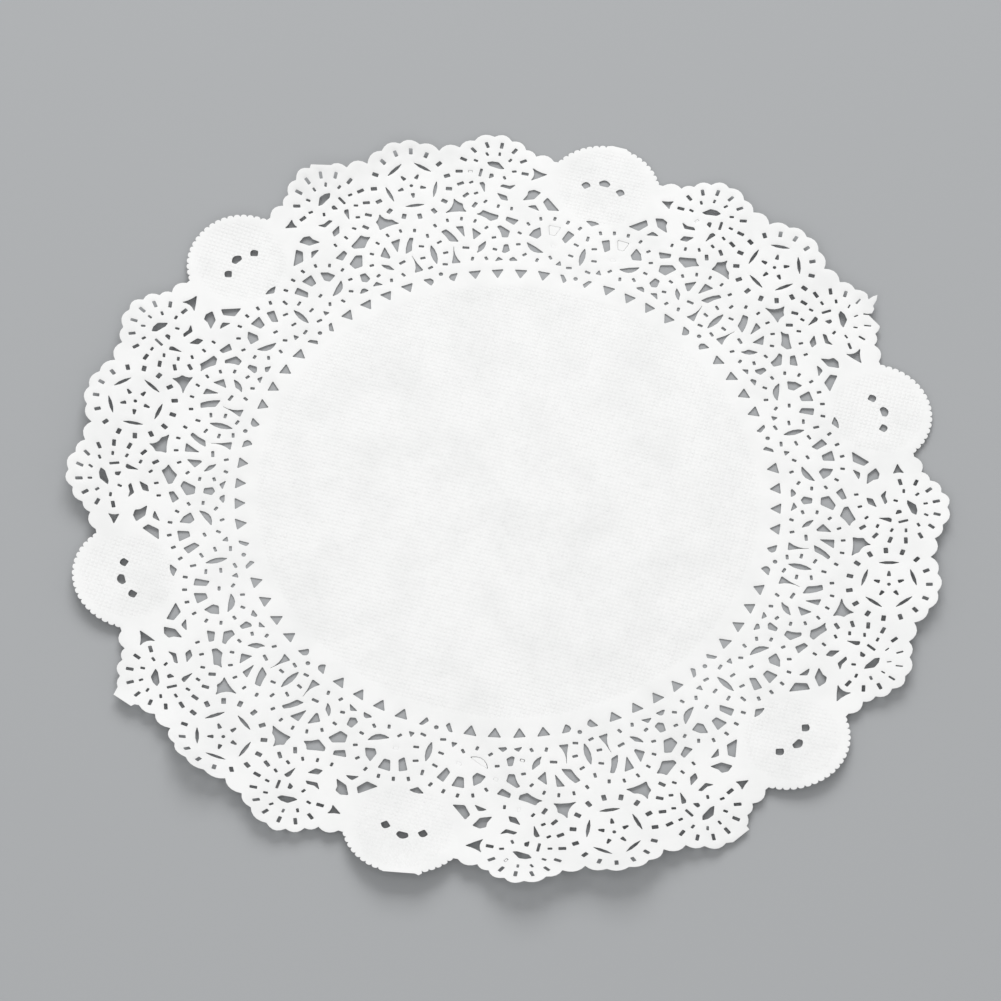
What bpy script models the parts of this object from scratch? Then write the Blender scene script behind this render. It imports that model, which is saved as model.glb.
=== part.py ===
"""Round lace paper doily, lying flat: one thin sheet with a plain centre and a pierced border.

The border repeats six times. A repeat holds a plain toothed tab on the +Y axis, a fan on each side of
it and half a star motif at each end. Its left half mirrors its right half but for small shifts, for the
leaves between the fan and the star, which were cut to another shape on each side, and for the turn of
the stars' slits. The gaps are charted in millimetres from the doily's centre, those of the left half as
a mirror shows them. The sheet lies flat but for a ripple of a fraction of a millimetre, and its rim
curls up a few millimetres, more at some sides than at others.

Frame: metres, +Z up, the underside of the flat centre on Z = 0, the first tab at +Y.
"""
import math
from collections import namedtuple

import bmesh
import bpy
from mathutils import Vector
from mathutils.geometry import delaunay_2d_cdt

MM = 0.001

# Sheet
SHEET_THICKNESS = 1.0 * MM
REPEATS = 6
REPEAT_ANGLE = 2.0 * math.pi / REPEATS

# Ripple: the sheet lies on the flat middle between three low points, and rises outside that triangle
LOW_RADIUS = 76.0
LOW_POINTS = 3
RIPPLE_START = LOW_RADIUS / 2.0
RISE_BETWEEN = 0.3          # midway between two low points
RISE_PAST = 0.2             # at LIFT_START

# Curl of the rim: its height grows with the square of the distance past LIFT_START
LIFT_START = 92.0
LIFT_GAUGE = 118.0          # the radius at which RIM_LIFT is read
LIFT_POWER = 2.0
RIM_LIFT = (0.2, 1.5, 0.3, 1.7, 1.2, 1.7, 1.7, 0.4, 1.6, 3.3, 1.0, 0.1)   # from +Y, clockwise
BEND_START = 116.0
BEND_GAUGE = 130.0          # the radius at which a bend's rise is read
RimBend = namedtuple("RimBend", "direction half_width rise")
# Where the last of the rim bends up (+) or down (-) past the curl; degrees from +Y, clockwise
RIM_BENDS = (
    RimBend(136.0, 14.0, -3.5),
    RimBend(155.0, 43.0, 3.0),
    RimBend(209.0, 17.0, 5.0),
    RimBend(272.0, 17.0, -2.0),
    RimBend(322.0, 28.0, 3.0),
)

# Tab: a disc with a toothed edge, from notch to notch
TAB_CENTRE_Y = 114.9
TAB_RADIUS = 18.3
TOOTH_DEPTH = 0.5
TOOTH_PITCH = math.radians(6.9)
TEETH_EACH_SIDE = 9

# Star motif: five slits round a point on the axis midway between two tabs
STAR_RADIUS = 117.3
SLIT_RING_RADIUS = 7.6
SLIT_LENGTH = 6.6
SLIT_HALF_WIDTH = 0.42
SLITS = 5
STAR_TURN = math.radians(-5.0)

# Curves
CHORD_ERROR = 0.22          # how far a bowed edge may run from its chord before it is divided again
INNER_RINGS = ((LOW_RADIUS, LOW_POINTS),)                   # radius, number of points
BORDER_RINGS = ((96.0, 48), (104.0, 54), (112.0, 60), (120.0, 66), (127.0, 72))
POINT_CLEARANCE = 2.2       # border points keep this far from every cut edge

PAPER_COLOUR = (0.86, 0.86, 0.85, 1.0)
PAPER_ROUGHNESS = 0.8

Gap = namedtuple("Gap", "name corners bows skew", defaults=((), (0.0, 0.0)))
# name; corners in order round the gap; how far each side bows out (+) or in (-), none where empty;
# how far the right one sits from this place, the left one sitting as far the other way in its mirror
HALF_REPEAT_GAPS = (
    Gap("ring_wedge_1", ((8.7, 81.4), (12.2, 81.2), (10.1, 78.4)), (), (0.2, 0.1)),
    Gap("ring_wedge_2", ((15.8, 80.4), (19.2, 79.7), (17.0, 77.3)), (), (0.1, 0.1)),
    Gap("ring_wedge_3", ((22.9, 78.7), (26.0, 77.5), (23.7, 75.4)), (), (0.0, 0.1)),
    Gap("ring_wedge_4", ((29.6, 76.4), (32.8, 75.0), (30.3, 73.2)), (), (-0.1, 0.1)),
    Gap("petal_inner", ((4.4, 97.4), (6.6, 98.4), (7.7, 94.8), (6.35, 93.5)), (), (0.0, 0.1)),
    Gap("petal_middle", ((9.2, 98.9), (12.9, 98.7), (11.9, 95.4), (10.1, 95.5)), (), (0.0, 0.1)),
    Gap("petal_outer", ((15.5, 97.4), (17.2, 95.8), (18.1, 93.5), (15.3, 93.0), (14.4, 94.5)), (),
        (0.0, 0.2)),
    Gap("petal_crescent", ((12.0, 88.6), (17.9, 91.0)), (1.55, 0.2), (0.0, 0.25)),
    Gap("scroll_shoulder", ((11.2, 104.8), (16.0, 108.6), (16.8, 106.8), (14.6, 104.2))),
    Gap("scroll_head", ((18.6, 110.0), (20.8, 110.4), (22.4, 109.5), (22.3, 108.0), (23.2, 105.8),
                        (20.0, 107.1))),
    Gap("leaf_low", ((22.6, 98.0), (26.5, 98.3), (26.5, 96.95), (23.6, 96.0))),
    Gap("thorn", ((36.2, 77.4), (39.7, 82.1), (38.4, 76.3)), (-0.75, -0.25, 0.0), (0.0, -0.05)),
    Gap("hub_leaf", ((32.1, 115.7), (34.5, 117.5), (36.5, 117.3), (37.9, 116.6), (36.8, 115.6),
                     (33.4, 115.3)), (), (0.0, -0.1)),
)
RIGHT_HALF_GAPS = (
    Gap("dart", ((19.0, 116.7), (22.6, 117.5), (21.9, 114.5)), (-0.15, -0.35, 0.0)),
    Gap("leaf_wide", ((29.1, 98.1), (34.1, 98.9), (35.7, 96.5), (31.7, 94.85), (29.1, 96.95)),
        (-0.1, -0.35, -0.25, 0.0, 0.0)),
    Gap("leaf_broad", ((24.1, 93.6), (27.7, 94.6), (29.2, 93.3), (26.4, 90.3), (24.1, 91.15))),
    Gap("leaf_narrow", ((31.0, 86.75), (32.45, 84.8), (32.5, 82.75)), (0.0, -0.1, 0.6)),
    Gap("leaf_left", ((33.05, 89.0), (36.25, 90.6), (34.95, 86.75), (34.4, 86.6))),
    Gap("leaf_right", ((39.3, 90.6), (41.95, 89.6), (38.0, 86.6))),
    Gap("blade", ((39.35, 84.3), (44.4, 87.8), (45.15, 87.0), (41.5, 83.95)), (0.4, 0.0, -0.2, 0.0)),
    Gap("sail", ((39.9, 96.2), (41.05, 99.15), (43.85, 100.5), (45.3, 96.4), (45.9, 93.95)),
        (-0.25, -0.35, -0.8, -0.15, -0.3)),
)
LEFT_HALF_GAPS = (
    Gap("dart", ((18.5, 117.1), (23.25, 118.15), (22.65, 113.75)), (-0.35, -0.95, 0.1)),
    Gap("leaf_wide", ((29.1, 98.1), (34.35, 98.7), (35.9, 96.75), (31.0, 95.4), (29.15, 96.7)),
        (-0.15, -0.35, -0.3, 0.0, 0.0)),
    Gap("leaf_broad", ((24.3, 93.15), (27.7, 94.45), (28.5, 93.7), (25.95, 90.35), (24.3, 90.75)),
        (0.0, 0.0, -0.3, 0.0, 0.0)),
    Gap("leaf_narrow", ((30.85, 87.5), (32.35, 85.1), (32.2, 82.65)), (0.0, -0.25, 0.9)),
    Gap("leaf_left", ((32.95, 89.6), (35.85, 90.85), (34.4, 87.1))),
    Gap("leaf_right", ((39.1, 90.85), (41.05, 90.1), (37.5, 87.3))),
    Gap("blade", ((38.75, 84.95), (43.8, 88.35), (44.95, 87.1), (41.45, 84.4)), (0.35, 0.0, -0.15, 0.0)),
    Gap("sail", ((39.2, 96.75), (41.15, 99.15), (44.1, 100.4), (45.3, 94.7)), (-0.45, -0.35, -1.0, -0.35)),
)
TAB_AXIS_GAPS = (
    Gap("tab_lens", ((0.0, 93.4), (0.0, 86.7)), (0.8, 0.8)),
    Gap("tab_foot", ((-2.1, 103.4), (2.1, 103.4), (0.0, 102.0)), (0.4, 0.0, 0.0)),
)
# On the axis midway between two tabs, as distances out from the centre and across the axis
STAR_AXIS_GAPS = (
    Gap("star_lens", ((0.0, 86.4), (0.0, 93.7)), (0.9, 0.9)),
)

Notch = namedtuple("Notch", "x y bow")
# Where two scallops meet, from the tab to the star's axis, and how far the next scallop bows out
SCALLOPS = (
    Notch(17.7, 122.6, 1.35),
    Notch(23.6, 122.95, 0.75),
    Notch(27.3, 124.45, 1.3),
    Notch(32.4, 126.3, 1.5),
    Notch(38.1, 126.3, 1.4),
    Notch(43.75, 122.95, 1.0),
    Notch(47.6, 119.2, 1.5),
    Notch(53.6, 116.1, 0.85),
    Notch(60.2, 116.7, 1.0),
    Notch(65.85, 113.95, 0.0),
)


def turned(points, angle):
    """The points turned about the doily's centre, anticlockwise."""
    cosine, sine = math.cos(angle), math.sin(angle)
    return [(x * cosine - y * sine, x * sine + y * cosine) for x, y in points]


def mirrored(points):
    """The points on the other side of the tab's axis, still in order."""
    return [(-x, y) for x, y in points]


def signed_area(points):
    """Positive where the points run anticlockwise."""
    following = points[1:] + points[:1]
    return 0.5 * sum(x * next_y - next_x * y for (x, y), (next_x, next_y) in zip(points, following))


def anticlockwise(points):
    """The same loop, running anticlockwise."""
    return points if signed_area(points) > 0.0 else points[::-1]


def bowed_edge(start, end, bow):
    """Points from start up to, but not with, end, on an arc that bows to the right of the way."""
    if bow == 0.0:
        return [start]
    along = (end[0] - start[0], end[1] - start[1])
    length = math.hypot(*along)
    right = (along[1] / length, -along[0] / length)
    steps = max(2, math.ceil(math.sqrt(abs(bow) / CHORD_ERROR)) + 1)
    points = []
    for step in range(steps):
        share = step / steps
        rise = 4.0 * bow * share * (1.0 - share)
        points.append((start[0] + along[0] * share + right[0] * rise,
                       start[1] + along[1] * share + right[1] * rise))
    return points


def gap_outline(gap, skewed=1.0):
    """The closed outline of a charted gap, moved by that share of its skew."""
    outward = -1.0 if signed_area(list(gap.corners)) < 0.0 else 1.0
    bows = gap.bows or (0.0,) * len(gap.corners)
    outline = []
    for index, corner in enumerate(gap.corners):
        following = gap.corners[(index + 1) % len(gap.corners)]
        outline += bowed_edge(corner, following, outward * bows[index])
    return [(x + skewed * gap.skew[0], y + skewed * gap.skew[1]) for x, y in outline]


def star_slits():
    """The five slits of the star that stands on +Y, each across its own radius."""
    outlines = []
    for index in range(SLITS):
        angle = (index + 0.5) * 2.0 * math.pi / SLITS + STAR_TURN
        slit = Gap("slit", ((-SLIT_LENGTH / 2, SLIT_RING_RADIUS), (SLIT_LENGTH / 2, SLIT_RING_RADIUS)),
                   (SLIT_HALF_WIDTH, SLIT_HALF_WIDTH))
        outlines.append([(x, y + STAR_RADIUS) for x, y in turned(gap_outline(slit), angle)])
    return outlines


def tab_edge():
    """The toothed edge of the tab at +Y, from its axis to the last crest on its right side."""
    points = []
    for index in range(2 * TEETH_EACH_SIDE + 1):
        angle = index * TOOTH_PITCH / 2
        radius = TAB_RADIUS + (TOOTH_DEPTH / 2 if index % 2 == 0 else -TOOTH_DEPTH / 2)
        points.append((radius * math.sin(angle), TAB_CENTRE_Y + radius * math.cos(angle)))
    return points


def scalloped_edge():
    """The scallops from the tab to the star's axis."""
    points = []
    for notch, following in zip(SCALLOPS, SCALLOPS[1:]):
        points += bowed_edge((notch.x, notch.y), (following.x, following.y), -notch.bow)
    return points


def rim():
    """The whole outline of the sheet, clockwise from the first tab's crest."""
    half = tab_edge() + scalloped_edge()
    star_axis_notch = (SCALLOPS[-1].x, SCALLOPS[-1].y)
    repeat = half + [star_axis_notch] + turned(mirrored(half[:0:-1]), -REPEAT_ANGLE)
    outline = []
    for index in range(REPEATS):
        outline += turned(repeat, -index * REPEAT_ANGLE)
    return outline


def all_gaps():
    """The outlines of every gap in the sheet."""
    right = [gap_outline(gap) for gap in HALF_REPEAT_GAPS + RIGHT_HALF_GAPS]
    left = [mirrored(gap_outline(gap, -1.0)) for gap in HALF_REPEAT_GAPS + LEFT_HALF_GAPS]
    on_tab_axis = [gap_outline(gap) for gap in TAB_AXIS_GAPS]
    on_star_axis = [gap_outline(gap) for gap in STAR_AXIS_GAPS] + star_slits()
    repeat = right + left + on_tab_axis
    repeat += [turned(outline, -REPEAT_ANGLE / 2) for outline in on_star_axis]
    return [turned(outline, -index * REPEAT_ANGLE) for index in range(REPEATS) for outline in repeat]


def ring_points(rings):
    """Points spread evenly round each ring, each ring half a step on from the one inside it."""
    points = []
    for ring, (radius, count) in enumerate(rings):
        for index in range(count):
            angle = (index + 0.5 * (ring % 2)) * 2.0 * math.pi / count
            points.append((radius * math.sin(angle), radius * math.cos(angle)))
    return points


def clear_points(points, outlines):
    """Those points that keep POINT_CLEARANCE from every corner and every edge's middle."""
    edge_points = []
    for outline in outlines:
        for start, end in zip(outline, outline[1:] + outline[:1]):
            edge_points += [start, ((start[0] + end[0]) / 2, (start[1] + end[1]) / 2)]
    return [point for point in points
            if min(math.dist(point, edge) for edge in edge_points) > POINT_CLEARANCE]


def eased(share):
    """A share from 0 to 1 that starts and ends gently."""
    return share * share * (3.0 - 2.0 * share)


def curl(x, y):
    """Height of the sheet's underside, in millimetres, at a place given in millimetres."""
    radius = math.hypot(x, y)
    turn = (math.atan2(x, y) / (2.0 * math.pi)) % 1.0
    rippled = eased(min(1.0, max(0.0, (radius - RIPPLE_START) / (LOW_RADIUS - RIPPLE_START))))
    ripple = RISE_BETWEEN * rippled * abs(math.sin(LOW_POINTS * turn * math.pi))
    ripple += RISE_PAST * min(1.0, max(0.0, (radius - LOW_RADIUS) / (LIFT_START - LOW_RADIUS)))
    if radius <= LIFT_START:
        return ripple
    sample = turn * len(RIM_LIFT)
    before = int(sample) % len(RIM_LIFT)
    share = eased(sample - int(sample))
    lift = RIM_LIFT[before] * (1.0 - share) + RIM_LIFT[(before + 1) % len(RIM_LIFT)] * share
    height = ripple + lift * ((radius - LIFT_START) / (LIFT_GAUGE - LIFT_START)) ** LIFT_POWER
    past_bend = max(0.0, (radius - BEND_START) / (BEND_GAUGE - BEND_START)) ** LIFT_POWER
    for bend in RIM_BENDS:
        away = abs(math.degrees(turn * 2.0 * math.pi) - bend.direction)
        height += bend.rise * past_bend * eased(max(0.0, 1.0 - away / bend.half_width))
    return height


def flat_triangles(outline, gaps, free_points):
    """The sheet's face as points and triangles, with the gaps left open."""
    points = []
    loops = []
    for loop in [outline] + gaps:
        loops.append(list(range(len(points), len(points) + len(loop))))
        points += anticlockwise(loop)
    points += free_points
    result = delaunay_2d_cdt([Vector(point) for point in points], [], loops, 0, 1e-5)
    corners, triangles, inside = result[0], result[2], result[5]
    kept = [triangle for triangle, faces in zip(triangles, inside) if list(faces) == [0]]
    return corners, kept


def build_sheet():
    """The sheet as one closed body: the pierced face, the same face above it, and the cut edges."""
    outline, gaps = rim(), all_gaps()
    free_points = ring_points(INNER_RINGS) + clear_points(ring_points(BORDER_RINGS), [outline] + gaps)
    corners, triangles = flat_triangles(outline, gaps, free_points)
    mesh = bpy.data.meshes.new("lace_sheet")
    shape = bmesh.new()
    under = [shape.verts.new((x * MM, y * MM, curl(x, y) * MM)) for x, y in corners]
    for triangle in triangles:
        shape.faces.new([under[index] for index in triangle])
    bmesh.ops.delete(shape, geom=[vert for vert in shape.verts if not vert.link_faces], context="VERTS")
    upper = bmesh.ops.extrude_face_region(shape, geom=shape.faces[:], use_keep_orig=True)["geom"]
    upper_verts = [item for item in upper if isinstance(item, bmesh.types.BMVert)]
    bmesh.ops.translate(shape, verts=upper_verts, vec=(0.0, 0.0, SHEET_THICKNESS))
    bmesh.ops.triangulate(shape, faces=[face for face in shape.faces if len(face.verts) > 3])
    bmesh.ops.recalc_face_normals(shape, faces=shape.faces)
    shape.to_mesh(mesh)
    shape.free()
    sheet = bpy.data.objects.new("lace_sheet", mesh)
    bpy.context.scene.collection.objects.link(sheet)
    return sheet


def paper():
    """Plain white uncoated paper."""
    material = bpy.data.materials.new("white_paper")
    material.use_nodes = True
    shader = material.node_tree.nodes["Principled BSDF"]
    shader.inputs["Base Color"].default_value = PAPER_COLOUR
    shader.inputs["Roughness"].default_value = PAPER_ROUGHNESS
    shader.inputs["Metallic"].default_value = 0.0
    return material


def main():
    for item in list(bpy.data.objects):
        bpy.data.objects.remove(item, do_unlink=True)
    sheet = build_sheet()
    sheet.data.materials.append(paper())


main()
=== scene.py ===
"""Round lace paper doily: one sheet of white paper, pressed with a linen grain and punched into lace.

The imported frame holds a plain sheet, and the one made here takes its place. This file makes the sheet
with every gap of its border, the waste bits that were never knocked out, and the stage. Places are
charted in millimetres from the doily's centre, with the first tab on +Y, and the border repeats six
times. The right half of a repeat is charted, and the left half mirrors it but for small shifts and for
the gaps that have a table for each half, which were cut to another shape on each side.
"""
import math
from collections import namedtuple

import bpy
import numpy as np
from bpy.props import FloatProperty, FloatVectorProperty, PointerProperty
from bpy.types import Operator, Panel, PropertyGroup
from mathutils import Matrix, Vector
from mathutils.geometry import delaunay_2d_cdt
from mathutils.kdtree import KDTree


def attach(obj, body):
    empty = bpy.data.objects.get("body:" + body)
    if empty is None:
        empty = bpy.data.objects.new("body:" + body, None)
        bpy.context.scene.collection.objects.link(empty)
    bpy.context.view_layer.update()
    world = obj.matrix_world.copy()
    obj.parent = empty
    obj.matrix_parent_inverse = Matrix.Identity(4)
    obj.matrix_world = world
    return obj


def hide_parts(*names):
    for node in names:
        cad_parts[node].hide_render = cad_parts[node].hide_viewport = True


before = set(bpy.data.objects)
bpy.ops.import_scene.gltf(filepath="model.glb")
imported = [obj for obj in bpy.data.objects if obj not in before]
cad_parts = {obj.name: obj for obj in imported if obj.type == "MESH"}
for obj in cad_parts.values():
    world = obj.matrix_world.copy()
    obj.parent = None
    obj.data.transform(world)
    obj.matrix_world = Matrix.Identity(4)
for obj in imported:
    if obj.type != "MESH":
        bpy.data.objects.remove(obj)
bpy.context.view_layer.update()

bl_info = {
    "name": "Lace paper doily",
    "version": (1, 0, 0),
    "blender": (4, 5, 0),
    "location": "3D View > Sidebar > Doily",
    "description": "Makes a punched and pressed lace paper doily and its stage",
    "category": "Add Mesh",
}

NODE = "lace_sheet"
MM = 0.001

REPEATS = 6
REPEAT_ANGLE = 2.0 * math.pi / REPEATS

# Ripple: the sheet lies on the flat middle between three low points, and rises outside that triangle
LOW_RADIUS = 76.0
LOW_POINTS = 3
RIPPLE_START = LOW_RADIUS / 2.0
RISE_BETWEEN = 0.3            # midway between two low points
RISE_PAST = 0.2               # at LIFT_START

# Curl of the rim: its height grows with the square of the distance past LIFT_START
LIFT_START = 92.0
LIFT_GAUGE = 118.0            # the radius at which RIM_LIFT is read
LIFT_POWER = 2.0
RIM_LIFT = (0.2, 1.5, 0.3, 1.7, 1.2, 1.7, 1.7, 0.4, 1.6, 3.3, 1.0, 0.1)   # from +Y, clockwise
BEND_START = 116.0
BEND_GAUGE = 130.0            # the radius at which a bend's rise is read
RimBend = namedtuple("RimBend", "direction half_width rise")
# Where the last of the rim bends up (+) or down (-) past the curl; degrees from +Y, clockwise
RIM_BENDS = (
    RimBend(136.0, 14.0, -3.5),
    RimBend(155.0, 43.0, 3.0),
    RimBend(209.0, 17.0, 5.0),
    RimBend(272.0, 17.0, -2.0),
    RimBend(322.0, 28.0, 3.0),
)

# Tab: a disc with small round beads round its edge
TAB_CENTRE_Y = 114.9
TAB_RADIUS = 17.65
BEAD_RISE = 0.76
BEAD_PITCH = math.radians(6.9)
BEADS_EACH_SIDE = 9
BEAD_STEPS = 6
BEAD_SINK = 0.15              # share of a bead's rise that lies inside the disc
TAB_GRAIN_CENTRE_Y = 116.8
TAB_GRAIN_RADIUS = 15.2

# Plain middle
MIDDLE_GRAIN_RADIUS = 76.9
GRAIN_FADE = 2.2
GRAIN_PRESS = 0.45            # share of the pressed height that the grain takes away
RING_LINE_RADIUS = 76.2
RING_LINE_WIDTH = 0.9
RING_LINE_RISE = 0.04

# Star motif: a ring of fifteen dots round five slits and five drop-shaped eyes
STAR_CENTRE = (0.05, 117.15)
STAR_TURN = math.radians(-6.0)
STAR_DOTS = 15
STAR_DOT_RING = 11.85
STAR_DOT_TURN = math.radians(-1.5)
STAR_DOT_LENGTH = 2.0
STAR_DOT_WIDTH = 1.38         # the outermost dots are narrower by STAR_DOT_TAPER
STAR_DOT_TAPER = 0.2
STAR_ARMS = 5
STAR_SLIT_RING = 7.55
STAR_SLIT_LENGTH = 6.3
STAR_SLIT_BOW = 0.52
STAR_EYE_RING = 3.75
STAR_EYE_LENGTH = 1.75
STAR_EYE_WIDTHS = (1.25, 0.5)     # at its end near the star's centre, and at its outer end
STAR_PUPIL = 1.15

# Curves and grid
CHORD_ERROR = 0.07            # how far a bowed edge may run from its chord before it is divided again
CORNER_CUT = 0.2
CORNER_CUT_SHARE = 0.3        # the most of a short side that one corner takes
PUNCH_WEAR = 0.06             # how far each gap reaches past its charted outline
SLOT_CORNER = 0.28
SLOT_CORNER_POINTS = 3
CORNER_STRAIGHT = math.radians(32.0)
GRID_PITCH = 0.98
GRID_CLEARANCE = 0.62
GRID_START = 73.0
GRID_END = 136.0
MIDDLE_PITCH = 5.0
MIDDLE_MARGIN = 1.0
MERGE_DISTANCE = 1e-5
UNDER_PITCH = 3.2
UNDER_CLEARANCE = 1.6
BEVEL_WIDTH = 0.26
BEVEL_CLEARANCE = 0.2
EDGE_SAMPLE = 0.3

Gap = namedtuple("Gap", "name corners bows skew", defaults=((), (0.0, 0.0)))
# name; corners in order round the gap; how far each side bows out (+) or in (-), none where empty;
# how far the right one sits from this place, the left one sitting as far the other way in its mirror
HALF_REPEAT_GAPS = (
    Gap("ring_wedge_0", ((4.0, 82.0), (5.1, 82.0), (3.4, 79.1), (2.6, 80.2))),
    Gap("ring_wedge_1", ((8.5, 81.55), (12.4, 81.35), (10.1, 78.15)), (), (0.3, 0.0)),
    Gap("ring_wedge_2", ((15.6, 80.6), (19.4, 79.8), (16.95, 77.05)), (), (0.3, -0.05)),
    Gap("ring_wedge_3", ((22.75, 78.95), (26.2, 77.65), (23.65, 75.25)), (), (0.2, -0.05)),
    Gap("ring_wedge_4", ((29.45, 76.65), (33.0, 75.1), (30.2, 73.05)), (), (0.25, -0.05)),
    Gap("ring_wedge_5", ((36.2, 73.65), (38.1, 72.55), (38.35, 71.4), (37.7, 70.7), (36.4, 70.4)), (),
        (0.3, -0.1)),
    Gap("petal_inner", ((4.4, 97.5), (6.6, 98.5), (7.7, 94.9), (6.35, 93.6)), (), (-0.15, 0.05)),
    Gap("petal_middle", ((9.2, 99.1), (12.9, 98.9), (11.9, 95.55), (10.1, 95.65)), (), (-0.2, 0.1)),
    Gap("petal_outer", ((15.5, 97.5), (17.2, 95.9), (18.1, 93.55), (15.3, 93.05), (14.4, 94.55)), (),
        (-0.1, 0.15)),
    Gap("petal_crescent", ((12.1, 88.55), (18.1, 90.95)), (1.65, 0.2), (-0.05, 0.15)),
    Gap("petal_thorn", ((6.3, 86.8), (5.55, 85.1), (7.35, 85.0)), (), (-0.1, 0.0)),
    Gap("scroll_shoulder", ((11.2, 105.0), (16.0, 108.85), (16.9, 106.9), (14.6, 104.25)), (),
        (-0.2, 0.05)),
    Gap("scroll_head", ((18.55, 110.15), (20.8, 110.6), (22.45, 109.65), (22.35, 108.15), (23.25, 105.8),
                        (20.0, 107.15)), (), (-0.15, 0.05)),
    Gap("scroll_eye", ((17.3, 103.3), (18.9, 105.05), (21.1, 103.95)), (0.0, 0.15, 0.0), (-0.2, 0.05)),
    Gap("leaf_low", ((22.6, 98.15), (26.5, 98.45), (26.5, 97.0), (23.6, 96.0)), (), (-0.15, 0.05)),
    Gap("thorn", ((36.2, 77.5), (39.95, 82.85), (38.75, 76.4)), (-0.7, -0.2, 0.0), (0.25, -0.3)),
    Gap("hub_leaf", ((32.0, 115.7), (34.4, 117.6), (36.4, 117.4), (37.9, 116.6), (36.8, 115.6),
                     (33.3, 115.3)), (), (-0.05, 0.05)),
    Gap("hub_seed", ((34.9, 112.9), (35.9, 112.8), (35.8, 110.85), (34.5, 111.85)), (), (-0.05, 0.0)),
    Gap("hub_wing", ((27.0, 110.75), (28.8, 109.85), (30.95, 109.85), (31.6, 108.9), (28.2, 108.7)), (),
        (-0.1, 0.0)),
    Gap("hub_foot", ((28.65, 105.95), (31.8, 106.25), (29.95, 104.2), (27.8, 104.3)), (), (-0.1, 0.0)),
    Gap("hub_spur", ((36.4, 108.55), (37.15, 109.2), (38.2, 108.6), (35.65, 105.5)), (), (-0.1, 0.1)),
    Gap("tab_side", ((4.05, 116.8), (7.0, 116.55), (5.6, 115.3)), (1.35, 0.0, 0.0), (-0.2, 0.05)),
)
RIGHT_HALF_GAPS = (
    Gap("dart", ((18.7, 116.95), (22.45, 117.8), (21.75, 114.6)), (-0.15, -0.35, 0.0)),
    Gap("leaf_wide", ((29.1, 98.05), (34.15, 98.9), (35.8, 96.45), (31.7, 94.75), (29.1, 96.85)),
        (-0.05, -0.3, -0.2, 0.0, 0.0)),
    Gap("leaf_broad", ((24.1, 93.6), (27.7, 94.6), (29.2, 93.3), (26.4, 90.3), (24.1, 91.15))),
    Gap("leaf_narrow", ((31.0, 86.7), (32.6, 84.65), (32.65, 82.4)), (0.0, -0.05, 0.7)),
    Gap("leaf_left", ((33.0, 89.0), (36.35, 90.6), (35.0, 86.65), (34.4, 86.45))),
    Gap("leaf_right", ((39.15, 90.6), (41.95, 89.55), (37.9, 86.4))),
    Gap("blade", ((39.35, 84.2), (44.45, 87.7), (45.2, 86.85), (41.5, 83.8)), (0.4, 0.0, -0.2, 0.0)),
    Gap("sail", ((39.8, 96.2), (40.95, 99.2), (43.85, 100.6), (45.3, 96.4), (45.9, 93.9)),
        (-0.2, -0.3, -0.75, -0.15, -0.3)),
    Gap("leaf_stem", ((23.65, 88.5), (25.25, 87.85), (24.95, 85.3), (23.35, 85.0), (22.35, 86.25))),
    Gap("ring_flag", ((18.8, 83.5), (20.5, 84.3), (21.2, 83.85), (21.6, 82.45), (19.55, 83.0))),
    Gap("ring_pennant", ((23.55, 82.65), (25.5, 83.15), (26.25, 80.95))),
)
LEFT_HALF_GAPS = (
    Gap("dart", ((18.5, 117.3), (23.55, 118.4), (22.9, 113.7)), (-0.3, -0.8, 0.1)),
    Gap("leaf_wide", ((29.25, 98.15), (34.5, 98.75), (36.1, 96.75), (31.15, 95.4), (29.3, 96.7)),
        (-0.15, -0.35, -0.3, 0.0, 0.0)),
    Gap("leaf_broad", ((24.35, 93.35), (27.8, 94.65), (28.6, 93.9), (26.05, 90.45), (24.35, 90.9)),
        (0.0, 0.0, -0.3, 0.0, 0.0)),
    Gap("leaf_narrow", ((30.6, 87.75), (32.25, 85.2), (32.1, 82.65)), (0.0, -0.2, 0.95)),
    Gap("leaf_left", ((32.75, 90.0), (35.9, 91.3), (34.4, 87.15))),
    Gap("leaf_right", ((38.9, 91.15), (41.05, 90.35), (37.35, 87.35))),
    Gap("blade", ((38.65, 85.1), (43.75, 88.55), (44.9, 87.25), (41.4, 84.5)), (0.35, 0.0, -0.15, 0.0)),
    Gap("sail", ((39.25, 96.75), (41.25, 99.35), (44.4, 100.5), (45.55, 94.5)), (-0.4, -0.3, -0.85, -0.3)),
    Gap("leaf_stem", ((23.6, 88.4), (24.75, 87.95), (24.6, 85.0), (23.65, 85.0), (22.5, 86.2))),
    Gap("ring_flag", ((19.15, 83.35), (20.85, 84.35), (21.8, 83.1), (21.4, 82.5))),
    Gap("ring_pennant", ((23.6, 82.45), (25.3, 83.05), (25.85, 81.2))),
)
TAB_AXIS_GAPS = (
    Gap("tab_lens", ((-0.1, 93.4), (-0.1, 86.6)), (0.85, 0.85)),
    Gap("tab_foot", ((-2.4, 103.6), (1.95, 103.6), (-0.2, 102.05)), (0.45, 0.0, 0.0)),
    Gap("tab_hole", ((-2.05, 118.95), (1.6, 118.95), (1.1, 117.8), (-1.55, 117.8)), (1.15, 0.0, 0.0, 0.0)),
)
STAR_AXIS_GAPS = (
    Gap("star_lens", ((0.4, 86.5), (0.35, 93.9)), (0.9, 0.9)),
)

Slot = namedtuple("Slot", "x y turn length width right_x right_y", defaults=(0.0, 0.0))
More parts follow.
